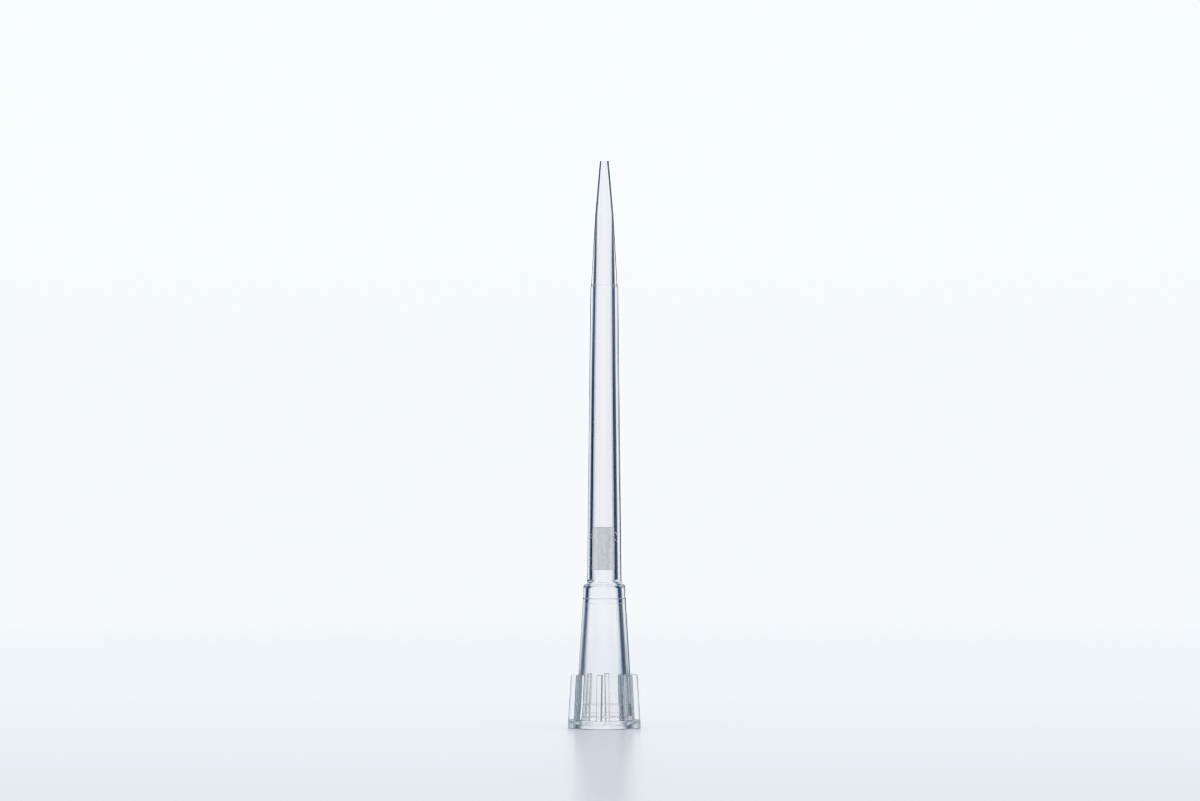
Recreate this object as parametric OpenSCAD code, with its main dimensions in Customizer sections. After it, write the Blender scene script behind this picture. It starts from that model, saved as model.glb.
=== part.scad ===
// Filter pipette tip for small volumes: a one-piece moulded tip with a finned
// collar, and a porous filter plug pressed into its bore.
// It stands on the collar's rim with the orifice up. Sizes are in millimetres,
// +Z is up and the origin is the centre of the rim's underside.

/* [Overall] */
// Height from the rim's underside to the orifice
tip_h = 46; // [40:0.5:60]
// Diameter of the rim
rim_d = 5.91; // [5.6:0.01:7.2]

/* [Collar] */
// Height of the rim
rim_h = 0.68; // [0.4:0.02:1.2]
// Rounding of the rim's outer edges
rim_edge_r = 0.06; // [0.02:0.01:0.15]
// Number of fins
fin_count = 8; // [4:1:12]
// Thickness of a fin
fin_t = 0.4; // [0.25:0.01:0.6]
// Height of the fins above the rim
fin_h = 3.7; // [2.5:0.05:4.8]
// Angle by which a fin's outer edge leans in
fin_draft = 3.3; // [0:0.1:5]
// Rounding of a fin's top corner
fin_corner_r = 0.18; // [0.05:0.01:0.25]
// Rounding of a fin's leaning outer edges
fin_edge_r = 0.06; // [0.02:0.01:0.1]
// Step from the rim's side in to the foot of a fin
fin_inset = 0.018; // [0:0.002:0.1]

/* [Socket] */
// Diameter of the cylindrical guide land
guide_d = 3.8; // [3.5:0.02:4.6]
// Height of the guide land
guide_h = 1; // [0.6:0.05:1.6]
// Height of the lead-in below the guide land
lead_in_h = 0.95; // [0.5:0.05:1.4]
// Widening of the lead-in from the guide land to the mouth
lead_in_w = 0.22; // [0.1:0.01:0.4]
// Step from the guide land in to the sealing taper
taper_step = 0.075; // [0.02:0.005:0.1]
// Diameter of the sealing taper at its narrow end
taper_narrow_d = 2.47; // [2:0.01:2.8]
// Height of the sealing taper
taper_h = 9.41; // [8:0.01:12]
// Wall thickness round the sealing taper, above the fins
socket_wall = 0.455; // [0.4:0.005:0.6]
// Extra wall thickness between the fins
web_step = 0.03; // [0.01:0.01:0.1]
// Distance from the top of the fins down to the slope that leads out to it
web_drop = 0.08; // [0.02:0.01:0.2]
// Height of that slope
web_slope_h = 0.1; // [0.06:0.02:0.4]
// Wall thickness at the top of the guide land
guide_wall = 0.38; // [0.3:0.01:0.6]
// Wall thickness where the guide land's wall meets the rim
root_wall = 0.52; // [0.4:0.01:0.8]
// Height of the slimmer band at the top of the socket
band_h = 1.04; // [0.5:0.01:1.5]
// Depth of the step in to that band
band_step = 0.045; // [0.01:0.005:0.08]
// Height of the straight ring below that step
ring_h = 0.38; // [0.1:0.01:0.8]
// Wall thickness at the top of the band
lip_wall = 0.475; // [0.4:0.005:0.6]

/* [Tube] */
// Height of the sloping shoulder on the outside
shoulder_h = 0.23; // [0.1:0.01:0.6]
// Rounding between the shoulder and the tube
shoulder_r = 0.3; // [0.1:0.01:0.5]
// Height of the sloping shoulder in the bore
throat_h = 0.69; // [0.4:0.01:1.2]
// Height of the outer shoulder's foot above the bore's one
shoulder_lead = 0.21; // [0:0.01:0.4]
// Diameter of the bore at the foot of the tube
tube_bore_low_d = 1.93; // [1.6:0.01:2.35]
// Diameter of the bore at the top of the tube
tube_bore_high_d = 1.436; // [1.32:0.002:1.6]
// Wall thickness at the foot of the tube
tube_wall_low = 0.445; // [0.35:0.005:0.6]
// Wall thickness at the top of the tube
tube_wall_high = 0.418; // [0.35:0.001:0.55]

/* [Point] */
// Height of the slender taper above the tube
slender_h = 5.6; // [4:0.1:8]
// Height of the sharper cone that ends at the orifice
point_h = 4.4; // [3:0.1:6]
// Height of the sloping step from the tube to the slender taper
step_h = 0.25; // [0.1:0.01:0.5]
// Depth of that step
step_depth = 0.065; // [0.02:0.005:0.1]
// Diameter of the bore where the sharper cone begins
point_bore_d = 1.31; // [1:0.01:1.4]
// Wall thickness where the sharper cone begins
point_wall = 0.095; // [0.08:0.005:0.3]
// Diameter of the orifice
orifice_d = 0.48; // [0.3:0.01:0.7]
// Wall thickness at the orifice
orifice_wall = 0.125; // [0.1:0.005:0.25]

/* [Filter] */
// Height of the filter plug
plug_h = 3.44; // [2:0.01:6]
// Distance from the foot of the tube's bore up to the plug
plug_rise = 0.81; // [0.3:0.01:3]
// Clearance round the plug
plug_gap = 0.01; // [0.005:0.005:0.03]
// Rounding of the plug's edges
plug_edge_r = 0.05; // [0.02:0.01:0.2]

/* [Hidden] */
$fn = 96;
arc_steps = 6;

// Levels up the axis
fin_top_z = rim_h + fin_h;
web_top_z = fin_top_z - web_drop;
web_z = web_top_z - web_slope_h;
guide_top_z = lead_in_h + guide_h;
taper_top_z = guide_top_z + taper_h;
throat_top_z = taper_top_z + throat_h;
shoulder_z = taper_top_z + shoulder_lead;
tube_z = shoulder_z + shoulder_h;
band_z = shoulder_z - band_h;
ring_z = band_z - ring_h;
point_z = tip_h - point_h;
tube_top_z = point_z - slender_h;
step_z = tube_top_z - step_h;
plug_z = throat_top_z + plug_rise;
plug_top_z = plug_z + plug_h;

// Radii
rim_r = rim_d / 2;
guide_r = guide_d / 2;
taper_wide_r = guide_r - taper_step;
ring_r = taper_r(ring_z) + socket_wall;
tube_low_r = tube_bore_low_d / 2 + tube_wall_low;
tube_high_r = tube_bore_high_d / 2 + tube_wall_high;

// Radius at level z on the straight line from radius r0 at z0 to r1 at z1
function between(z, z0, r0, z1, r1) = r0 + (r1 - r0) * (z - z0) / (z1 - z0);

// Radius of the bore at a level in the sealing taper and in the tube
function taper_r(z) = between(z, guide_top_z, taper_wide_r, taper_top_z, taper_narrow_d / 2);
function tube_bore_r(z) =
    between(z, throat_top_z, tube_bore_low_d / 2, tube_top_z, tube_bore_high_d / 2);

// Points of the arc of radius r that rounds the corner at b, between a and c
function unit(v) = v / norm(v);
function shortest(turn) = turn > 180 ? turn - 360 : turn < -180 ? turn + 360 : turn;
function arc(a, b, c, r) =
    let (
        to_a = unit(a - b),
        to_c = unit(c - b),
        half = acos(to_a * to_c) / 2,
        centre = b + unit(to_a + to_c) * r / sin(half),
        first = b + to_a * r / tan(half) - centre,
        last = b + to_c * r / tan(half) - centre,
        start = atan2(first.y, first.x),
        sweep = shortest(atan2(last.y, last.x) - start)
    )
    [for (i = [0:arc_steps])
        let (angle = start + sweep * i / arc_steps)
        centre + r * [cos(angle), sin(angle)]];

// Outline through corners given as [radius, level], or [radius, level, rounding]
function at(corner) = [corner.x, corner.y];
function outline(corners) =
    let (n = len(corners))
    [for (i = [0:n - 1])
        each corners[i].z == undef
            ? [at(corners[i])]
            : arc(at(corners[(i + n - 1) % n]), at(corners[i]), at(corners[(i + 1) % n]), corners[i].z)];

// Outside of the moulding without its fins, from the rim up to the orifice
outside = [
    [rim_r, 0, rim_edge_r],
    [rim_r, rim_h, rim_edge_r],
    [guide_r + root_wall, rim_h],
    [guide_r + guide_wall, guide_top_z],
    [taper_r(web_z) + socket_wall + web_step, web_z],
    [taper_r(web_top_z) + socket_wall, web_top_z],
    [ring_r, ring_z],
    [ring_r, band_z],
    [ring_r - band_step, band_z],
    [taper_narrow_d / 2 + lip_wall, shoulder_z],
    [tube_low_r, tube_z, shoulder_r],
    [tube_high_r, step_z],
    [tube_high_r - step_depth, tube_top_z],
    [point_bore_d / 2 + point_wall, point_z],
    [orifice_d / 2 + orifice_wall, tip_h],
];

// Bore, from the orifice down to the mouth
bore = [
    [orifice_d / 2, tip_h],
    [point_bore_d / 2, point_z],
    [tube_bore_high_d / 2, tube_top_z],
    [tube_bore_low_d / 2, throat_top_z],
    [taper_narrow_d / 2, taper_top_z],
    [taper_wide_r, guide_top_z],
    [guide_r, guide_top_z],
    [guide_r, lead_in_h],
    [guide_r + lead_in_w, 0],
];

// Side view of one fin. Its foot and its inner edge lie inside the rim and the socket's wall.
fin_foot_r = rim_r - fin_inset;
fin_head_r = fin_foot_r - fin_h * tan(fin_draft);
fin_side = [
    [guide_r + root_wall / 2, rim_h / 2],
    [fin_foot_r, rim_h / 2],
    [fin_foot_r, rim_h],
    [fin_head_r, fin_top_z, fin_corner_r],
    [taper_r(fin_top_z) + socket_wall / 2, fin_top_z],
];

// Plan of one fin, square to its leaning edge and measured from the foot of that edge
fin_plan = [
    [-fin_foot_r, -fin_t / 2],
    [0, -fin_t / 2, fin_edge_r],
    [0, fin_t / 2, fin_edge_r],
    [-fin_foot_r, fin_t / 2],
];

// The side view cut from a bar with rounded edges that leans as the fin's outer edge does
module fin() {
    intersection() {
        rotate([90, 0, 0])
            linear_extrude(height = 2 * fin_t, center = true)
                polygon(outline(fin_side));
        translate([fin_foot_r, 0, rim_h])
            rotate([0, -fin_draft, 0])
                translate([0, 0, -rim_h])
                    linear_extrude(height = 2 * rim_h + fin_h)
                        polygon(outline(fin_plan));
    }
}

module tip_body() {
    color([0.93, 0.95, 0.97, 0.35]) {
        rotate_extrude()
            polygon(outline(concat(outside, bore)));
        for (i = [0:fin_count - 1])
            rotate(i * 360 / fin_count)
                fin();
    }
}

module filter_plug() {
    color([0.80, 0.83, 0.82])
        rotate_extrude()
            polygon(outline([
                [0, plug_z],
                [tube_bore_r(plug_z) - plug_gap, plug_z, plug_edge_r],
                [tube_bore_r(plug_top_z) - plug_gap, plug_top_z, plug_edge_r],
                [0, plug_top_z],
            ]));
}

tip_body();
filter_plug();
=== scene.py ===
"""A clear filter pipette tip standing on its collar, on a pale floor in soft studio light."""

import math

import bmesh
import bpy
from mathutils import Matrix, Vector, noise


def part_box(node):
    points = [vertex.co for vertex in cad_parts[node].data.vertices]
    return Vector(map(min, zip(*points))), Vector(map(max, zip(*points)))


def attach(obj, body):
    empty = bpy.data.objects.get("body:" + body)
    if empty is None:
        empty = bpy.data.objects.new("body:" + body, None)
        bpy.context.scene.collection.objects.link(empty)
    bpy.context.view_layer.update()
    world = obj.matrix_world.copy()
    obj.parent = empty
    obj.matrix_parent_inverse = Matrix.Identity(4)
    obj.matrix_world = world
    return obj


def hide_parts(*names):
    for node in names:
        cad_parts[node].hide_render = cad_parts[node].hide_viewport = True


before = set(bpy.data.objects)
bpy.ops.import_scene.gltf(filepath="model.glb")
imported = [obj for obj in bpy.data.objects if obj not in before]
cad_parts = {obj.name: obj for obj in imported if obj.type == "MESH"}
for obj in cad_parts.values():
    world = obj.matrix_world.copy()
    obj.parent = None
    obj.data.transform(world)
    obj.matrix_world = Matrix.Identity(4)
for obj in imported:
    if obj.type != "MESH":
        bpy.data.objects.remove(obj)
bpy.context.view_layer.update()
scene = bpy.context.scene

MM = 0.001

# ---------------------------------------------------------------- sizes, in millimetres
TIP_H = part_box("tip_body")[1].z / MM
PLUG_LOW, PLUG_HIGH = (corner.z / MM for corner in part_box("filter_plug"))

RIM_R = 2.955
RIM_H = 0.68
RIM_EDGE_R = 0.06

FIN_COUNT = 8
FIN_T = 0.4
FIN_TOP = 4.38
FIN_LEAN = math.tan(math.radians(3.3))
FIN_CORNER_R = 0.18
FIN_EDGE_R = 0.06
FIN_ROOT_R = 0.03
FIN_FOOT_R = RIM_R - 0.018

# How finely the mesh is divided
FIN_COLUMNS, GAP_COLUMNS = 4, 20
RIM_STEPS, FIN_CORNER_STEPS, TUBE_EDGE_STEPS = 4, 6, 6
FOOT_INNER_STEPS, FOOT_OUTER_STEPS = 2, 3
FIN_EDGE_SEGMENTS = 3
# Blender's own name for the layer that its bevel modifier reads
BEVEL_LAYER = "bevel_weight_edge"

# Heights where the outline changes
GUIDE_LOW_Z, GUIDE_HIGH_Z = 0.95, 1.95
RING_LOW_Z, RING_HIGH_Z = 10.15, 10.53
TAPER_HIGH_Z, TUBE_BORE_LOW_Z = 11.36, 12.05
TUBE_BEND_Z = 29.0
STEP_LOW_Z, STEP_Z, CONE_Z = 35.75, 36.0, 41.6

# The core pin of the mould stood a little to one side, and so does the bore, by (distance, height).
# The last point is above the orifice, so that every height of the tip is covered
CORE_SHIFT = [
    (-0.08, 0.0),
    (-0.06, TAPER_HIGH_Z),
    (-0.055, TUBE_BEND_Z),
    (-0.025, STEP_Z),
    (0.01, CONE_Z),
    (-0.01, TIP_H + 0.01),
]


def between(z, low, high):
    """Radius at height z on the straight line between two (radius, height) points."""
    (r0, z0), (r1, z1) = low, high
    return r0 + (r1 - r0) * (z - z0) / (z1 - z0)


def core_shift(z):
    """How far the bore lies off the axis at height z."""
    low, high = next(pair for pair in zip(CORE_SHIFT, CORE_SHIFT[1:]) if z <= pair[1][1])
    return Vector((between(z, low, high), 0, 0))


def arc(centre, radius, start, end, steps):
    """Points of an arc in the (radius, height) plane, with angles in degrees."""
    angles = [math.radians(start + (end - start) * k / steps) for k in range(steps + 1)]
    return [(centre[0] + radius * math.cos(a), centre[1] + radius * math.sin(a)) for a in angles]


def rounded(before, corner, after, radius, steps):
    """Points of the arc that rounds a corner of an outline."""
    at = Vector(corner)
    one, two = (Vector(before) - at).normalized(), (Vector(after) - at).normalized()
    half = one.angle(two) / 2
    centre = at + (one + two).normalized() * radius / math.sin(half)
    start = at + one * radius / math.tan(half) - centre
    turn = (at + two * radius / math.tan(half) - centre).angle_signed(start)
    return [tuple(centre + Matrix.Rotation(turn * k / steps, 2) @ start) for k in range(steps + 1)]


# The socket's sealing taper and the wall round it, which is thicker between the fins
TAPER_LOW, TAPER_HIGH = (1.825, GUIDE_HIGH_Z), (1.235, TAPER_HIGH_Z)
SOCKET_WALL = 0.455
GAP_EXTRA = 0.03


def cone_r(z):
    """Radius of the socket's outside at height z."""
    return between(z, TAPER_LOW, TAPER_HIGH) + SOCKET_WALL


# Outside between the fins, from the rim up to the top of the fins
GAP_WALL = [
    (2.42, RIM_H),
    (2.28, GUIDE_HIGH_Z),
    (cone_r(4.2) + GAP_EXTRA, 4.2),
    (cone_r(4.3), 4.3),
    (cone_r(FIN_TOP), FIN_TOP),
]
# Outside above the fins, up to the orifice
RING_R = cone_r(RING_LOW_Z)
BAND_INSET = 0.045
SHOULDER, TUBE_LOW, TUBE_HIGH = (1.71, 11.57), (1.41, 11.80), (1.136, STEP_LOW_Z)
SHOULDER_R = 0.3
UPPER_WALL = [
    (cone_r(FIN_TOP), FIN_TOP),
    (RING_R, RING_LOW_Z),
    (RING_R, RING_HIGH_Z),
    (RING_R - BAND_INSET, RING_HIGH_Z),
    SHOULDER,
    *rounded(SHOULDER, TUBE_LOW, TUBE_HIGH, SHOULDER_R, TUBE_EDGE_STEPS),
    TUBE_HIGH,
    (1.071, STEP_Z),
    (0.75, CONE_Z),
    (0.365, TIP_H),
]
# Bore, from the orifice down to the mouth
TUBE_BORE_LOW, TUBE_BORE_HIGH = (0.965, TUBE_BORE_LOW_Z), (0.718, STEP_Z)
GUIDE_R = 1.9
BORE = [
    (0.24, TIP_H),
    (0.655, CONE_Z),
    TUBE_BORE_HIGH,
    (between(TUBE_BEND_Z, TUBE_BORE_LOW, TUBE_BORE_HIGH), TUBE_BEND_Z),
    TUBE_BORE_LOW,
    TAPER_HIGH,
    TAPER_LOW,
    (GUIDE_R, GUIDE_HIGH_Z),
    (GUIDE_R, GUIDE_LOW_Z),
    (2.12, 0.0),
]


# ---------------------------------------------------------------- body mesh
PER_FIN = FIN_COLUMNS + GAP_COLUMNS
RIM_ARC_R = RIM_R - RIM_EDGE_R


def fin_angle(index):
    return 2 * math.pi * index / FIN_COUNT


def fin_across(k):
    """How far column k of a fin lies to the side of the fin's middle."""
    return FIN_T * (k / FIN_COLUMNS - 0.5)


def column_angles(radius):
    """Angles of a whole ring's columns. At this radius, they meet both sides of every fin."""
    half = math.asin(FIN_T / 2 / radius)
    gap = 2 * math.pi / FIN_COUNT - 2 * half
    angles = []
    for index in range(FIN_COUNT):
        middle = fin_angle(index)
        angles += [middle - half + 2 * half * k / FIN_COLUMNS for k in range(FIN_COLUMNS)]
        angles += [middle + half + gap * k / GAP_COLUMNS for k in range(GAP_COLUMNS)]
    return angles


def ring(bm, radius, height, at_radius=None, shift=Vector()):
    """One ring of vertices, with its columns where a ring of radius at_radius has them."""
    return [
        bm.verts.new((Vector((radius * math.cos(a), radius * math.sin(a), height)) + shift) * MM)
        for a in column_angles(at_radius or radius)
    ]


def bridge(bm, one, two, columns=None):
    """Quads between two rings, over all columns or over some."""
    count = len(one)
    for j in range(count) if columns is None else columns:
        k = (j + 1) % count
        bm.faces.new((one[j], one[k], two[k], two[j]))


def extend(bm, last, points, at_radius=None, in_bore=False):
    """Rings through (radius, height) points, each bridged to the one before. Returns the last."""
    for r, z in points:
        following = ring(bm, r, z, at_radius, core_shift(z) if in_bore else Vector())
        bridge(bm, last, following)
        last = following
    return last


def rim_edge_z(r):
    """Height of the rim's rounded upper edge at a radius."""
    return RIM_H - RIM_EDGE_R + math.sqrt(max(RIM_EDGE_R ** 2 - (r - RIM_ARC_R) ** 2, 0))


def rim_edge():
    """The rim's rounded upper edge: points as far as the fins' feet, and points beyond them."""
    centre = (RIM_ARC_R, RIM_H - RIM_EDGE_R)
    foot_r = math.hypot(FIN_FOOT_R, FIN_T / 2)
    foot_angle = math.degrees(math.acos((foot_r - RIM_ARC_R) / RIM_EDGE_R))
    return (arc(centre, RIM_EDGE_R, 90, foot_angle, FOOT_INNER_STEPS),
            arc(centre, RIM_EDGE_R, foot_angle, 0, FOOT_OUTER_STEPS)[1:])


def set_bevel(bm, line, weight):
    layer = bm.edges.layers.float[BEVEL_LAYER]
    for one, two in zip(line, line[1:]):
        bm.edges.get((one, two))[layer] = weight


def add_fin(bm, index, gap_rings, rim_rings, foot_at):
    """One fin, from the top of the wall's rings to the rim's. Its foot is on rim_rings[foot_at]."""
    turn = fin_angle(index)
    out = Vector((math.cos(turn), math.sin(turn), 0))
    side = Vector((-math.sin(turn), math.cos(turn), 0))
    first = index * PER_FIN

    def point(r, k, z):
        return bm.verts.new((out * r + side * fin_across(k) + Vector((0, 0, z))) * MM)

    def row_of(a_ring):
        return [a_ring[(first + k) % len(a_ring)] for k in range(FIN_COLUMNS + 1)]

    # The front, from the top over the rounded corner to the foot, and the rim's edge below it
    corner_z = FIN_TOP - FIN_CORNER_R
    corner_r = FIN_FOOT_R - (corner_z - RIM_H) * FIN_LEAN - FIN_CORNER_R
    corner = arc((corner_r, corner_z), FIN_CORNER_R, 90, 0, FIN_CORNER_STEPS)
    rows = [row_of(gap_rings[-1])]
    rows += [[point(r, k, z) for k in range(FIN_COLUMNS + 1)] for r, z in corner]
    foot = row_of(rim_rings[foot_at])
    for k in range(1, FIN_COLUMNS):
        foot[k] = point(FIN_FOOT_R, k, rim_edge_z(math.hypot(FIN_FOOT_R, fin_across(k))))
    rows.append(foot)
    edge_rows = len(rows)
    rows += [row_of(a_ring) for a_ring in rim_rings[foot_at + 1:]]
    for high, low in zip(rows, rows[1:]):
        for k in range(FIN_COLUMNS):
            bm.faces.new((high[k], high[k + 1], low[k + 1], low[k]))

    # The two sides, with rounded edges and roots
    for k in (0, FIN_COLUMNS):
        outer = [row[k] for row in rows[:edge_rows]]
        below = [row_of(a_ring)[k] for a_ring in reversed(rim_rings[:foot_at])]
        root = [row_of(a_ring)[k] for a_ring in gap_rings[1:-1]]
        bm.faces.new(outer + below + root)
        set_bevel(bm, outer, 1)
        set_bevel(bm, [below[-1]] + root + [outer[0]], FIN_ROOT_R / FIN_EDGE_R)


def build_body():
    """The clear moulding: its outside and its rim, then its bore, and last its fins."""
    bm = bmesh.new()
    bm.edges.layers.float.new(BEVEL_LAYER)
    gaps = [i * PER_FIN + FIN_COLUMNS + k for i in range(FIN_COUNT) for k in range(GAP_COLUMNS)]
    whole_r, whole_z = UPPER_WALL[0]

    top_ring = ring(bm, whole_r, whole_z)
    orifice_ring = extend(bm, top_ring, UPPER_WALL[1:], whole_r)

    gap_rings = [ring(bm, r, z) for r, z in GAP_WALL[:-1]] + [top_ring]
    for low, high in zip(gap_rings, gap_rings[1:]):
        bridge(bm, low, high, gaps)
    inner_edge, outer_edge = rim_edge()
    rim_rings = [gap_rings[0]] + [ring(bm, r, z) for r, z in inner_edge + outer_edge]
    for inner, outer in zip(rim_rings, rim_rings[1:]):
        bridge(bm, inner, outer, gaps)

    lower_edge = arc((RIM_ARC_R, RIM_EDGE_R), RIM_EDGE_R, 0, -90, RIM_STEPS)
    underside_ring = extend(bm, rim_rings[-1], lower_edge)
    bore_top_ring = extend(bm, underside_ring, reversed(BORE), whole_r, in_bore=True)
    bridge(bm, bore_top_ring, orifice_ring)

    for index in range(FIN_COUNT):
        add_fin(bm, index, gap_rings, rim_rings, len(inner_edge))
    bmesh.ops.delete(bm, geom=[v for v in bm.verts if not v.link_faces], context="VERTS")
    bmesh.ops.recalc_face_normals(bm, faces=bm.faces)
    return finish_mesh(bm, "clear_moulding")


def finish_mesh(bm, name):
    """A smooth-shaded object made from the mesh, placed in the scene."""
    for face in bm.faces:
        face.smooth = True
    mesh = bpy.data.meshes.new(name)
    bm.to_mesh(mesh)
    bm.free()
    piece = bpy.data.objects.new(name, mesh)
    scene.collection.objects.link(piece)
    return piece


# ---------------------------------------------------------------- plug mesh
PLUG_ROWS, PLUG_COLUMNS, PLUG_END_ROWS = 90, 160, 14
PLUG_GAP = 0.012
GRAIN_DEPTH = 0.012
# Two sizes of grain, as the number that fit in a millimetre, and each one's share of the depth
GRAINS = ((11, 0.5), (23, 0.5))
ON_AXIS = 1e-6


def build_plug():
    """Porous plug: a lathe with fine grains pressed a little into its surface."""
    low_r = between(PLUG_LOW, TUBE_BORE_LOW, TUBE_BORE_HIGH) - PLUG_GAP
    high_r = between(PLUG_HIGH, TUBE_BORE_LOW, TUBE_BORE_HIGH) - PLUG_GAP
    height = PLUG_HIGH - PLUG_LOW
    # Each point is (radius, height, which way along Z leads into the plug)
    path = [(low_r * k / PLUG_END_ROWS, PLUG_LOW, 1) for k in range(PLUG_END_ROWS)]
    path += [(low_r + (high_r - low_r) * k / PLUG_ROWS, PLUG_LOW + height * k / PLUG_ROWS, 0)
             for k in range(PLUG_ROWS + 1)]
    path += [(high_r * (1 - k / PLUG_END_ROWS), PLUG_HIGH, -1) for k in range(1, PLUG_END_ROWS + 1)]
    bm = bmesh.new()
    rings = []
    for r, z, inward in path:
        columns = PLUG_COLUMNS if r > ON_AXIS else 1
        made = []
        for j in range(columns):
            a = 2 * math.pi * j / columns
            direction = Vector((math.cos(a), math.sin(a), 0))
            spot = direction * r + Vector((0, 0, z))
            grain = sum(share * noise.noise(spot * pitch) for pitch, share in GRAINS)
            depth = GRAIN_DEPTH * (1 + grain)
            pressed_r = r - depth if r > ON_AXIS else 0
            place = direction * pressed_r + Vector((0, 0, z + inward * depth))
            made.append(bm.verts.new((place + core_shift(z)) * MM))
        rings.append(made)
    for one, two in zip(rings, rings[1:]):
        for j in range(PLUG_COLUMNS):
            k = (j + 1) % PLUG_COLUMNS
            corners = [one[j % len(one)], one[k % len(one)], two[k % len(two)], two[j % len(two)]]
            bm.faces.new(list(dict.fromkeys(corners)))
    bmesh.ops.recalc_face_normals(bm, faces=bm.faces)
    return finish_mesh(bm, "porous_plug")


# ---------------------------------------------------------------- node trees
class Tree:
    """Adds nodes to a node tree, with each input given as a number or as another node's output."""

    def __init__(self, owner):
        owner.use_nodes = True
        self.nodes, self.links = owner.node_tree.nodes, owner.node_tree.links

    def add(self, kind, inputs=None, **settings):
        node = self.nodes.new(kind)
        for name, value in settings.items():
            setattr(node, name, value)
        for key, value in (inputs or {}).items():
            self.set(node.inputs[key], value)
        return node

    def set(self, socket, value):
        if isinstance(value, bpy.types.NodeSocket):
            self.links.new(value, socket)
        else:
            socket.default_value = value

    def math(self, operation, *values):
        return self.add("ShaderNodeMath", dict(enumerate(values)), operation=operation).outputs[0]

    def product(self, first, *others):
        for value in others:
            first = self.math("MULTIPLY", first, value)
        return first

    def opposite(self, value):
        return self.math("SUBTRACT", 1, value)

    def choose(self, value, low, high):
        """A number that goes from low to high as the value goes from 0 to 1."""
        return self.math("MULTIPLY_ADD", value, high - low, low)

    def ramp(self, value, start, end, low=0.0, high=1.0, kind="SMOOTHSTEP"):
        inputs = {"Value": value, "From Min": start, "From Max": end, "To Min": low, "To Max": high}
        return self.add("ShaderNodeMapRange", inputs, interpolation_type=kind).outputs["Result"]

    def curve(self, value, points):
        """Straight lines between (value, result) points, all from 0 to 1."""
        node = self.add("ShaderNodeFloatCurve", {"Value": value})
        line = node.mapping.curves[0]
        for point, (x, y) in zip(line.points, (points[0], points[-1])):
            point.location = x, y
        for x, y in points[1:-1]:
            line.points.new(x, y)
        for point in line.points:
            point.handle_type = "VECTOR"
        node.mapping.update()
        return node.outputs["Value"]

    def by_height(self, level, points):
        """The curve through (height, result) points, for a height given as a share of the tip's."""
        return self.curve(level, [(z / TIP_H, result) for z, result in points])

    def radius_by_height(self, level, points):
        """The radius in metres on the curve through (height, radius) points in millimetres."""
        share = self.by_height(level, [(z, r / RADIUS_TOP) for z, r in points])
        return self.product(share, RADIUS_TOP * MM)

    def noise(self, place, size, detail=2.0, stretch=1.0):
        """Noise from 0 to 1 with features of this size in millimetres, stretched along Z."""
        scale = {0: place, 1: (1, 1, 1 / stretch)}
        squeezed = self.add("ShaderNodeVectorMath", scale, operation="MULTIPLY")
        inputs = {"Vector": squeezed.outputs[0], "Scale": 1 / (size * MM), "Detail": detail}
        return self.add("ShaderNodeTexNoise", inputs).outputs["Fac"]

    def bump(self, height, depth):
        """Normals of a surface that rises by this depth, in metres, where the height is 1."""
        inputs = {"Height": height, "Distance": depth, "Strength": 1.0}
        return self.add("ShaderNodeBump", inputs).outputs["Normal"]

    def mix(self, factor, one, two):
        """A mix of two colours. Their sockets go by number, because other types share the names."""
        return self.add("ShaderNodeMix", {0: factor, 6: one, 7: two}, data_type="RGBA").outputs[2]

    def mix_shaders(self, factor, one, two):
        return self.add("ShaderNodeMixShader", {0: factor, 1: one, 2: two}).outputs[0]

    def parts(self, vector):
        """The outputs X, Y and Z of a vector."""
        return self.add("ShaderNodeSeparateXYZ", {0: vector}).outputs

    def coordinates(self, kind):
        return self.add("ShaderNodeTexCoord").outputs[kind]


# ---------------------------------------------------------------- clear plastic
# In the lists that follow, each pair is a height in millimetres and the value there
POLYPROPYLENE_IOR = 1.49
PLASTIC_TINT = (0.99, 0.99, 0.994, 1)
# Dark blue painted shade of the edges, where little light comes through
EDGE_SHADE_TINT = (0.0, 0.06, 0.2, 1)

# The collar, below this change, is thicker and rougher than the rest
COLLAR_TOP = (4.35, 4.6)
COLLAR_TINT = (0.99, 0.983, 0.985, 1)
COLLAR_ROUGHNESS, COLLAR_BORE_ROUGHNESS = 0.12, 0.06
RIM_TOP = (0.6, 0.72)
RIM_ROUGHNESS, RIM_BORE_ROUGHNESS = 0.23, 0.12

# Radius halfway through the wall: what lies nearer the axis belongs to the bore
RADIUS_TOP = 3
WALL_MIDDLE = [
    (0, 2.5), (0.9, 2.2), (1.95, 2.05), (11.4, 1.47),
    (12.05, 1.18), (36, 0.91), (41.6, 0.7), (46, 0.3),
]
# The fins begin beyond this radius
FINS_FROM = [(0, 2.5), (0.68, 2.5), (4.38, 2.3), (4.5, 3), (46, 3)]
FIN_TINT = (0.975, 0.984, 0.982, 1)
# Painted shade along the fins' outline: how far it reaches in from the front, and from where to
# where near the top
FIN_SHADE_TINT, FIN_SHADE_DEPTH = (0.45, 0.5, 0.53, 1), 0.5
FIN_LINE_FRONT, FIN_LINE_TOP = (0.03, 0.09), (FIN_TOP - 0.07, FIN_TOP - 0.02)
FIN_LINE_ABOVE = RIM_H + 0.03

# How grazing a view of the bore's far wall has to be before its painted shade begins, and over what
# range it darkens
BORE_SHADE_START = [
    (0, 0.2), (5, 0.2), (9.5, 0.27), (11.4, 0.27), (12.1, 0.17), (38, 0.17), (42, 0.3), (46, 0.5),
]
BORE_SHADE_RANGE = 0.7
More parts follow.
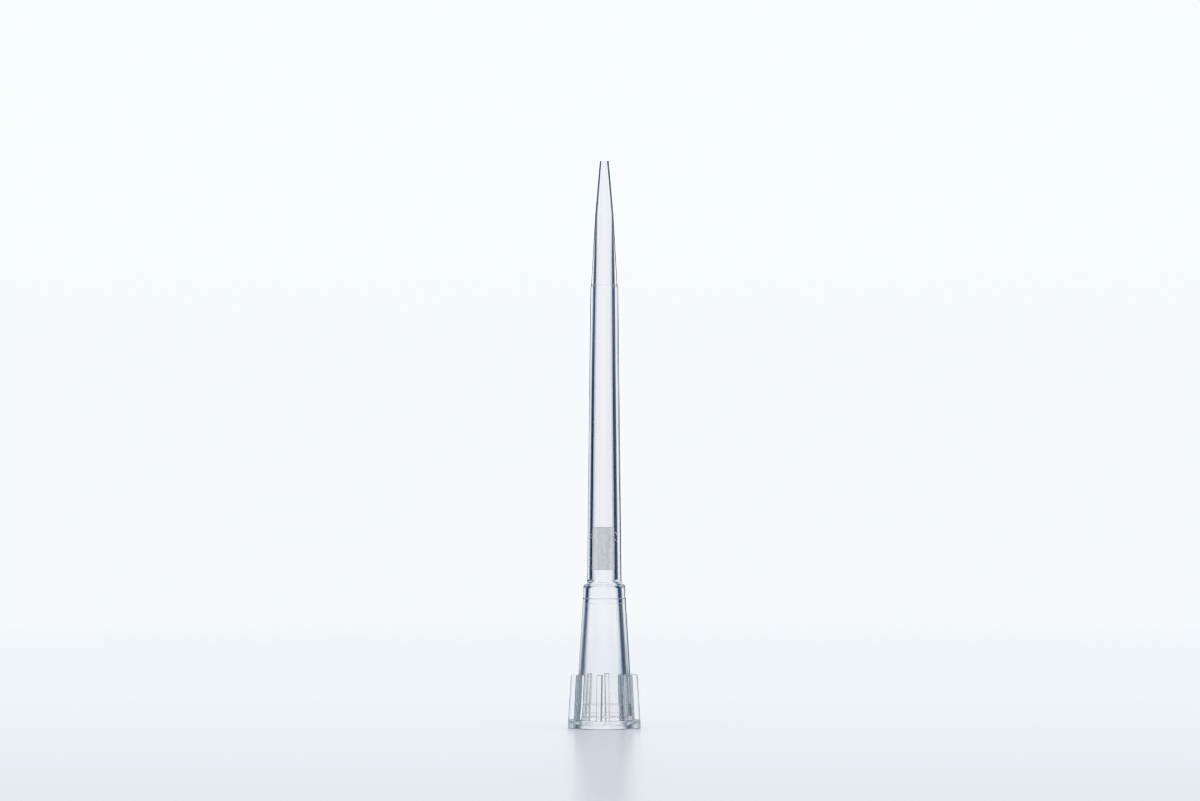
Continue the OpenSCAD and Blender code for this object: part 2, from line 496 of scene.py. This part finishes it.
# The same for the painted shade of the outside, and how much it darkens there at least
EDGE_SHADE_START = [(0, 0.2), (4.35, 0.2), (4.6, 0.6), (36, 0.6), (41.6, 0.42), (46, 0.36)]
EDGE_SHADE_RANGE = [(0, 0.5), (4.35, 0.5), (4.6, 0.2), (36, 0.2), (41.6, 0.15), (46, 0.1)]
EDGE_LEAST = [(0, 0.3), (4.4, 0.3), (4.8, 0.2), (35.5, 0.25), (36.2, 0.5), (40, 1.0), (46, 1.0)]
# Painted shade, deeper on the tube's side towards +X, which the studio lights less: up to this,
# where its normal leans this far
RIGHT_SHADE_DEPTH, RIGHT_SHADE_LEAN = 0.95, 0.6
# Surfaces whose normals lie along Z by more than this have no edge shading
FLAT_NORMAL = (0.3, 0.6)

# Faint rings of rougher plastic and painted shade where the outline steps: height, half width,
# depth of the painted shade, roughness, whether on the bore
STEP_LINES = [
    (11.55, 0.04, 0.25, 0.3, False),
    (RING_HIGH_Z, 0.05, 0.2, 0.5, False),
    (10.16, 0.03, 0.0, 0.5, False),
    (GUIDE_HIGH_Z, 0.05, 0.25, 0.3, True),
    (0.97, 0.05, 0.35, 0.3, True),
    (RIM_H, 0.04, 0.3, 0.3, False),
    (0.03, 0.06, 0.3, 0.4, False),
]
STEP_SHADE_TINT = (0.3, 0.33, 0.36, 1)

# Waves in the moulded surfaces, and haze: size and depth, in the tube and more in the collar
WAVE_SIZE, WAVE_DETAIL, WAVE_STRETCH = 0.5, 2, 5
TUBE_WAVE, COLLAR_WAVE = 0.0006, 0.004
HAZE_SIZE, HAZE_DETAIL, HAZE_FROM = 0.35, 3, (0.5, 0.8)
TUBE_HAZE, COLLAR_HAZE = 0.015, 0.08

# Grains of the plug that press on the bore show as pale, rough specks that let little light through
SPECK_SPACING, SPECK_R, SPECK_CORE, SPECK_SHARE = 0.24, 0.08, 0.7, 0.5
SPECK_TINT, SPECK_ROUGHNESS, SPECK_CLEARNESS = (0.88, 0.9, 0.9, 1), 0.6, 0.1
# Painted shade on the wall before the plug's sides, where the plug takes the light that would leave
# the wall into the bore at a slant
PLUG_SLANT, PLUG_SHADE_TINT, PLUG_SHADE_DEPTH = (0.1, 0.25), (0.2, 0.27, 0.3, 1), 0.65


class Spot:
    """Sockets that say where on the moulding a point lies and from where it is seen."""

    def __init__(self, tree):
        self.place = tree.coordinates("Object")
        parts = tree.parts(self.place)
        x, y, self.z = parts["X"], parts["Y"], parts["Z"]
        self.turn = tree.math("ARCTAN2", y, x)
        x_squared, y_squared = tree.math("POWER", x, 2), tree.math("POWER", y, 2)
        self.radius = tree.math("SQRT", tree.math("ADD", x_squared, y_squared))
        self.level = tree.product(self.z, 1 / MM / TIP_H)
        self.normal = tree.parts(tree.coordinates("Normal"))
        wall_middle = tree.radius_by_height(self.level, WALL_MIDDLE)
        fins_from = tree.radius_by_height(self.level, FINS_FROM)
        self.in_bore = tree.math("LESS_THAN", self.radius, wall_middle)
        self.outside = tree.opposite(self.in_bore)
        self.in_fin = tree.math("GREATER_THAN", self.radius, fins_from)
        self.in_collar = tree.ramp(self.z, COLLAR_TOP[0] * MM, COLLAR_TOP[1] * MM, 1, 0)
        self.at_plug = tree.product(tree.math("GREATER_THAN", self.z, PLUG_LOW * MM),
                                    tree.math("LESS_THAN", self.z, PLUG_HIGH * MM), self.in_bore)
        self.from_plastic = tree.add("ShaderNodeNewGeometry").outputs["Backfacing"]
        self.from_air = tree.opposite(self.from_plastic)
        self.grazing = tree.add("ShaderNodeLayerWeight").outputs["Facing"]


def bore_shade(tree, spot):
    """Painted shade on the bore's far wall, seen at a slant."""
    start = tree.by_height(spot.level, BORE_SHADE_START)
    shade = tree.ramp(spot.grazing, start, tree.math("ADD", start, BORE_SHADE_RANGE))
    return tree.product(shade, spot.in_bore, spot.from_air)


def edge_shade(tree, spot):
    """Painted shade on the outside's edges, seen at a slant."""
    # Painted shade that deepens on the side towards +X
    right_shade = tree.product(tree.ramp(spot.normal["X"], 0, RIGHT_SHADE_LEAN, 0, RIGHT_SHADE_DEPTH),
                              tree.opposite(spot.in_collar))
    depth = tree.math("MAXIMUM", right_shade, tree.by_height(spot.level, EDGE_LEAST))
    upright = tree.ramp(tree.math("ABSOLUTE", spot.normal["Z"]), *FLAT_NORMAL, 1, 0)
    start = tree.by_height(spot.level, EDGE_SHADE_START)
    end = tree.math("ADD", start, tree.by_height(spot.level, EDGE_SHADE_RANGE))
    shade = tree.ramp(spot.grazing, start, end)
    return tree.product(shade, depth, upright, spot.outside, spot.from_air)


def fin_edge_shade(tree, spot):
    """Where the fins get painted shade: 1 along their front and upper edges, and 0 elsewhere."""
    from_middle = tree.math("PINGPONG", spot.turn, math.pi / FIN_COUNT)
    sideways = tree.product(spot.radius, tree.math("SINE", from_middle))
    at_side = tree.ramp(sideways, (FIN_T / 2 - FIN_EDGE_R) * MM, FIN_T / 2 * MM)
    above_rim = tree.math("SUBTRACT", spot.z, RIM_H * MM)
    front = tree.math("MULTIPLY_ADD", above_rim, -FIN_LEAN, FIN_FOOT_R * MM)
    inset = tree.math("SUBTRACT", front, spot.radius)
    at_front = tree.ramp(inset, FIN_LINE_FRONT[0] * MM, FIN_LINE_FRONT[1] * MM, 1, 0)
    at_top = tree.ramp(spot.z, FIN_LINE_TOP[0] * MM, FIN_LINE_TOP[1] * MM)
    outline = tree.math("MAXIMUM", tree.product(at_front, at_side), at_top)
    above_foot = tree.math("GREATER_THAN", spot.z, FIN_LINE_ABOVE * MM)
    return tree.product(outline, above_foot, spot.in_fin)


def plug_specks(tree, spot):
    """1 where a grain of the plug presses on the bore, and 0 elsewhere."""
    inputs = {"Vector": spot.place, "Scale": 1 / (SPECK_SPACING * MM)}
    grains = tree.add("ShaderNodeTexVoronoi", inputs).outputs
    edge = SPECK_R / SPECK_SPACING
    speck = tree.ramp(grains["Distance"], edge * SPECK_CORE, edge, 1, 0)
    lot = tree.add("ShaderNodeSeparateColor", {"Color": grains["Color"]}).outputs["Red"]
    return tree.product(speck, tree.math("LESS_THAN", lot, SPECK_SHARE), spot.at_plug)


def clear_plastic():
    material = bpy.data.materials.new("clear_polypropylene")
    tree = Tree(material)
    spot = Spot(tree)
    shader = tree.nodes["Principled BSDF"]
    shader.inputs["IOR"].default_value = POLYPROPYLENE_IOR

    colour = tree.mix(spot.in_collar, PLASTIC_TINT, COLLAR_TINT)
    colour = tree.mix(spot.in_fin, colour, FIN_TINT)
    # Painted shade along the fins' edges
    colour = tree.mix(tree.product(fin_edge_shade(tree, spot), FIN_SHADE_DEPTH), colour, FIN_SHADE_TINT)
    # Painted shade on the bore's far wall
    colour = tree.mix(bore_shade(tree, spot), colour, EDGE_SHADE_TINT)
    # Painted shade on the outside's edges
    colour = tree.mix(edge_shade(tree, spot), colour, EDGE_SHADE_TINT)

    collar_rough = tree.choose(spot.in_bore, COLLAR_ROUGHNESS, COLLAR_BORE_ROUGHNESS)
    collar_rough = tree.product(spot.in_collar, collar_rough)
    rim_rough = tree.choose(spot.in_bore, RIM_ROUGHNESS, RIM_BORE_ROUGHNESS)
    in_rim = tree.ramp(spot.z, RIM_TOP[0] * MM, RIM_TOP[1] * MM, 1, 0)
    rough = tree.math("MAXIMUM", collar_rough, tree.product(in_rim, rim_rough))

    for z, half, depth, roughness, on_bore in STEP_LINES:
        far = tree.math("ABSOLUTE", tree.math("SUBTRACT", spot.z, z * MM))
        line = tree.ramp(far, half / 2 * MM, half * MM, 1, 0)
        line = tree.product(line, spot.in_bore if on_bore else spot.outside)
        # Painted shade along the ring
        colour = tree.mix(tree.product(line, depth), colour, STEP_SHADE_TINT)
        rough = tree.math("MAXIMUM", rough, tree.product(line, roughness))

    haze = tree.ramp(tree.noise(spot.place, HAZE_SIZE, HAZE_DETAIL), *HAZE_FROM)
    haze = tree.product(haze, tree.choose(spot.in_collar, TUBE_HAZE, COLLAR_HAZE))
    rough = tree.math("ADD", rough, haze)

    # Painted shade towards the plug's sides, seen through the wall
    slant = tree.product(tree.ramp(spot.grazing, *PLUG_SLANT), spot.from_plastic, spot.at_plug)
    colour = tree.mix(tree.product(slant, PLUG_SHADE_DEPTH), colour, PLUG_SHADE_TINT)
    speck = plug_specks(tree, spot)
    colour = tree.mix(speck, colour, SPECK_TINT)
    rough = tree.math("MAXIMUM", rough, tree.product(speck, SPECK_ROUGHNESS))

    # The shader takes the square root of the colour at each crossing
    squared = tree.add("ShaderNodeGamma", {"Color": colour, "Gamma": 2.0}).outputs[0]
    tree.set(shader.inputs["Base Color"], squared)
    tree.set(shader.inputs["Roughness"], rough)
    tree.set(shader.inputs["Transmission Weight"], tree.choose(speck, 1, SPECK_CLEARNESS))
    height = tree.noise(spot.place, WAVE_SIZE, WAVE_DETAIL, WAVE_STRETCH)
    depth = tree.choose(spot.in_collar, TUBE_WAVE * MM, COLLAR_WAVE * MM)
    tree.set(shader.inputs["Normal"], tree.bump(height, depth))
    return material


# ---------------------------------------------------------------- porous plastic
PLUG_GRAIN, PLUG_PORE = (0.99, 0.99, 0.94, 1), (0.85, 0.87, 0.815, 1)
PLUG_ROUGHNESS, GRAIN_ROUGHNESS = 0.9, 0.75
# Grains, and streaks along Z from pressing the plug in: their size, and from and to which range
# the noise is stretched
GRAIN_SIZE, GRAIN_FROM, GRAIN_TO = 0.16, (0.3, 0.7), (0.3, 0.7)
STREAK_SIZE, STREAK_DETAIL, STREAK_STRETCH = 0.22, 1, 14
STREAK_FROM, STREAK_TO = (0.35, 0.65), (-0.4, 0.4)
STAIN_SIZE, STAIN_DETAIL, STAIN_FROM, STAIN_DEPTH = 0.9, 1, (0.62, 0.78), 0.25
PLUG_STAIN = (0.7, 0.66, 0.56, 1)
# Painted shade: the plug's two edges are darker, over this distance from its ends
END_FADE, END_SHADE_DEPTH = (0.03, 0.1), 0.55
PORE_SIZE, PORE_DETAIL, PORE_DEPTH = 0.08, 3, 0.004


def porous_plastic():
    material = bpy.data.materials.new("sintered_polyethylene")
    tree = Tree(material)
    shader = tree.nodes["Principled BSDF"]
    place = tree.coordinates("Object")
    z = tree.parts(place)["Z"]
    grain = tree.ramp(tree.noise(place, GRAIN_SIZE), *GRAIN_FROM, *GRAIN_TO)
    streak = tree.noise(place, STREAK_SIZE, STREAK_DETAIL, STREAK_STRETCH)
    grain = tree.math("ADD", grain, tree.ramp(streak, *STREAK_FROM, *STREAK_TO))
    colour = tree.mix(grain, PLUG_PORE, PLUG_GRAIN)
    stain = tree.ramp(tree.noise(place, STAIN_SIZE, STAIN_DETAIL), *STAIN_FROM, 0, STAIN_DEPTH)
    colour = tree.mix(stain, colour, PLUG_STAIN)
    from_end = tree.math("MINIMUM", tree.math("SUBTRACT", z, PLUG_LOW * MM),
                         tree.math("SUBTRACT", PLUG_HIGH * MM, z))
    # Painted shade near the plug's ends
    end_shade = tree.ramp(from_end, END_FADE[0] * MM, END_FADE[1] * MM, END_SHADE_DEPTH, 0)
    tree.set(shader.inputs["Base Color"], tree.mix(end_shade, colour, PLUG_PORE))
    tree.set(shader.inputs["Roughness"], tree.choose(grain, PLUG_ROUGHNESS, GRAIN_ROUGHNESS))
    pores = tree.bump(tree.noise(place, PORE_SIZE, PORE_DETAIL), PORE_DEPTH * MM)
    tree.set(shader.inputs["Normal"], pores)
    return material


# ---------------------------------------------------------------- pieces
# Edges that bend by less than this are shaded smooth
SMOOTH_ANGLE = math.radians(2.5)
# How far large faces decide the normals beside them, where 50 is neutral and 100 is the most
LARGE_FACES_DECIDE = 100

body = build_body()
body.data.materials.append(clear_plastic())
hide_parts("tip_body")
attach(body, "root")
rounding = body.modifiers.new("fin_edges", "BEVEL")
rounding.limit_method = "WEIGHT"
rounding.width = FIN_EDGE_R * MM
rounding.segments = FIN_EDGE_SEGMENTS
rounding.use_clamp_overlap = False
rounding.miter_outer = "MITER_SHARP"
body.data.set_sharp_from_angle(angle=SMOOTH_ANGLE)
weighted = body.modifiers.new("weighted_normals", "WEIGHTED_NORMAL")
weighted.weight = LARGE_FACES_DECIDE
weighted.keep_sharp = True

plug = build_plug()
plug.data.materials.append(porous_plastic())
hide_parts("filter_plug")
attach(plug, "root")

# ---------------------------------------------------------------- studio
# The studio's back lies this far round from +Y, because the tip is turned against the camera
STUDIO_TURN = math.radians(9)

# The backdrop, from the horizon up over this rise of the direction
BACKDROP, BACKDROP_TOP, BACKDROP_RISE = (0.925, 0.958, 0.978, 1), (0.939, 0.973, 1.0, 1), (0, 0.05)
# The floor fades into the backdrop over this distance from the tip
FLOOR_R, FLOOR_SEGMENTS, FLOOR_FADE = 300, 96, (160, 300)
FLOOR_GAP = 0.005
FLOOR_ROUGHNESS, FLOOR_IOR = 0.25, 1.45
# The floor's colour from the front to the back of the studio, darker in front as painted shade, and
# the glow painted on it where it is seen through the tip
FLOOR_NEAR, FLOOR_FAR, FLOOR_NEAR_FAR = (0.73, 0.74, 0.79, 1), (0.865, 0.875, 0.895, 1), (-90, 60)
FLOOR_SEEN_GLOW = (0.855, 0.905, 0.955, 1)

# What dark surroundings look like, half dark and fully: behind the tip in the world's light, and on
# the floor as painted shade
BLUE, NAVY, NAVY_ABOVE = (0.42, 0.47, 0.56, 1), (0.012, 0.028, 0.065, 1), (0.0, 0.035, 0.12, 1)
NAVY_RISE = (0.005, 0.03)
PALE_TEAL, TEAL = (0.38, 0.46, 0.49, 1), (0.15, 0.195, 0.225, 1)

# Dark cards stand to the sides: degrees off the studio's axis where they begin, and where they end
CARDS_BEHIND, CARDS_BELOW, CARDS_END = (12, 45), (5, 32), (72, 77)
# The dark room that the outside mirrors: degrees round from the back where it begins and where it
# grows paler, how dark it is in front, and how far a direction may rise before it misses the room.
# On each side it has a pale window this far round, and the window's half width is in cosines
ROOM_START, ROOM_FRONT, ROOM_FRONT_DARK = (12, 40), (90, 110), 0.55
ROOM_TOP = (0.012, 0.03)
WINDOW_AT, WINDOW_HALF = 132, (0.08, 0.14)
# Light that has gone back and forth inside the walls comes from all round
SCATTERED_DARK = 0.45
# How much more light comes from the sides than from the front and back
SIDE_LIGHT = 0.2
# A ray's path counts whole crossings and bounces, so each of these limits lies between two counts
ONCE, OFTEN, MOST = 0.5, 2.5, 4.5


def angle_ramp(tree, cosine, degrees, low=0.0, high=1.0):
    start, end = (math.cos(math.radians(angle)) for angle in degrees)
    return tree.ramp(cosine, start, end, low, high)


def around_axis(tree, place):
    """The direction of a place round the axis, from straight behind the tip."""
    parts = tree.parts(place)
    turn = tree.math("ARCTAN2", parts["Y"], parts["X"])
    return tree.math("SUBTRACT", turn, STUDIO_TURN + math.pi / 2)


def darkness(tree, place, cards_from):
    """How dark the surroundings are to a ray that has met the plastic. To others, they are pale."""
    path = tree.add("ShaderNodeLightPath").outputs
    crossings, bounces = path["Transmission Depth"], path["Glossy Depth"]
    bounced = tree.math("GREATER_THAN", bounces, ONCE)
    crossed, crossed_often, crossed_most = (
        tree.math("GREATER_THAN", crossings, limit) for limit in (ONCE, OFTEN, MOST)
    )

    facing = tree.math("COSINE", around_axis(tree, place))
    off_axis = tree.math("ARCCOSINE", tree.math("ABSOLUTE", facing))
    cards = tree.product(tree.ramp(off_axis, *(math.radians(angle) for angle in cards_from)),
                         tree.ramp(off_axis, *(math.radians(angle) for angle in CARDS_END), 1, 0))
    window = math.cos(math.radians(WINDOW_AT))
    from_window = tree.math("ABSOLUTE", tree.math("SUBTRACT", facing, window))
    room = tree.product(angle_ramp(tree, facing, ROOM_START),
                        angle_ramp(tree, facing, ROOM_FRONT, 1, ROOM_FRONT_DARK),
                        tree.ramp(from_window, *WINDOW_HALF),
                        tree.ramp(tree.parts(place)["Z"], *ROOM_TOP, 1, 0))

    kinds = (
        (bounced, tree.opposite(crossed), room),
        (bounced, crossed, tree.opposite(crossed_often), cards),
        (bounced, crossed_often, SCATTERED_DARK),
        (tree.opposite(bounced), crossed_most, cards),
    )
    dark = tree.product(*kinds[0])
    for kind in kinds[1:]:
        dark = tree.math("ADD", dark, tree.product(*kind))
    return dark


def studio_colour(tree, place, pale, half_dark, darkest, cards_from):
    """The studio's colour in a direction, and the light that comes from there."""
    diffuse_depth = tree.add("ShaderNodeLightPath").outputs["Diffuse Depth"]
    lighting = tree.math("GREATER_THAN", diffuse_depth, ONCE)
    dark = tree.product(darkness(tree, place, cards_from), tree.opposite(lighting))
    colour = tree.mix(tree.ramp(dark, 0, 0.5, kind="LINEAR"), pale, half_dark)
    colour = tree.mix(tree.ramp(dark, 0.5, 1, kind="LINEAR"), colour, darkest)
    twice_round = tree.math("COSINE", tree.product(around_axis(tree, place), 2))
    gain = tree.math("MULTIPLY_ADD", tree.product(twice_round, -SIDE_LIGHT), lighting, 1)
    scaled = tree.add("ShaderNodeVectorMath", {0: colour, "Scale": gain}, operation="SCALE")
    return scaled.outputs[0]


def build_world():
    world = bpy.data.worlds.new("studio")
    scene.world = world
    tree = Tree(world)
    direction = tree.coordinates("Generated")
    rise = tree.parts(direction)["Z"]
    pale = tree.mix(tree.ramp(rise, *BACKDROP_RISE), BACKDROP, BACKDROP_TOP)
    navy = tree.mix(tree.ramp(rise, *NAVY_RISE), NAVY, NAVY_ABOVE)
    colour = studio_colour(tree, direction, pale, BLUE, navy, CARDS_BEHIND)
    tree.set(tree.nodes["Background"].inputs["Color"], colour)


def floor_material():
    """The floor: lit where it is seen directly, and through the plastic a painted glow in the
    studio's own colour, with painted shade.
    """
    material = bpy.data.materials.new("pale_floor")
    tree = Tree(material)
    shader = tree.nodes["Principled BSDF"]
    shader.inputs["Roughness"].default_value = FLOOR_ROUGHNESS
    shader.inputs["IOR"].default_value = FLOOR_IOR
    place = tree.add("ShaderNodeNewGeometry").outputs["Position"]
    back = {0: place, 1: (-math.sin(STUDIO_TURN), math.cos(STUDIO_TURN), 0)}
    along = tree.add("ShaderNodeVectorMath", back, operation="DOT_PRODUCT").outputs["Value"]
    farness = tree.ramp(along, FLOOR_NEAR_FAR[0] * MM, FLOOR_NEAR_FAR[1] * MM, kind="LINEAR")
    # Painted shade: the floor darkens towards the front
    tree.set(shader.inputs["Base Color"], tree.mix(farness, FLOOR_NEAR, FLOOR_FAR))
    distance = tree.add("ShaderNodeVectorMath", {0: place}, operation="LENGTH").outputs["Value"]
    fade = tree.ramp(distance, FLOOR_FADE[0] * MM, FLOOR_FADE[1] * MM)
    backdrop = tree.add("ShaderNodeEmission", {"Color": BACKDROP}).outputs[0]
    direct = tree.mix_shaders(fade, shader.outputs[0], backdrop)
    seen = tree.mix(fade, FLOOR_SEEN_GLOW, BACKDROP)
    # Painted glow and painted shade for the floor seen through the plastic
    colour = studio_colour(tree, place, seen, PALE_TEAL, TEAL, CARDS_BELOW)
    through = tree.add("ShaderNodeEmission", {"Color": colour}).outputs[0]
    crossings = tree.add("ShaderNodeLightPath").outputs["Transmission Depth"]
    crossed = tree.math("GREATER_THAN", crossings, ONCE)
    surface = tree.mix_shaders(crossed, direct, through)
    tree.set(tree.nodes["Material Output"].inputs["Surface"], surface)
    return material


def build_floor():
    bm = bmesh.new()
    bmesh.ops.create_circle(bm, cap_ends=True, radius=FLOOR_R * MM, segments=FLOOR_SEGMENTS)
    floor = finish_mesh(bm, "floor")
    floor.location.z = -FLOOR_GAP * MM
    floor.data.materials.append(floor_material())


build_world()
build_floor()

# ---------------------------------------------------------------- camera
LENS, SENSOR = 200, 36
CLIP_START, CLIP_END = 0.01, 100
# Width of the view at the tip, from which the camera's distance follows, and the camera's place
FRAME_W = 97.39
CAMERA_D = FRAME_W * LENS / SENSOR
CAMERA_SIDE = -0.35
CAMERA_Z = 26.58

camera_data = bpy.data.cameras.new("camera")
camera_data.lens = LENS
camera_data.sensor_width = SENSOR
camera_data.clip_start, camera_data.clip_end = CLIP_START, CLIP_END
camera = bpy.data.objects.new("camera", camera_data)
scene.collection.objects.link(camera)
scene.camera = camera
camera.location = Vector((
    CAMERA_D * math.sin(STUDIO_TURN) + CAMERA_SIDE * math.cos(STUDIO_TURN),
    -CAMERA_D * math.cos(STUDIO_TURN) + CAMERA_SIDE * math.sin(STUDIO_TURN),
    CAMERA_Z,
)) * MM
# Level: a camera without any turn looks straight down
camera.rotation_euler = (math.radians(90), 0, STUDIO_TURN)

scene.view_settings.view_transform = "Standard"
# Sharp pixels and sharp reflections, and enough bounces to cross the fins and walls of the collar
scene.cycles.filter_width = 1.0
scene.cycles.blur_glossy = 0
scene.cycles.max_bounces = 32
scene.cycles.glossy_bounces = 16
scene.cycles.transmission_bounces = 24
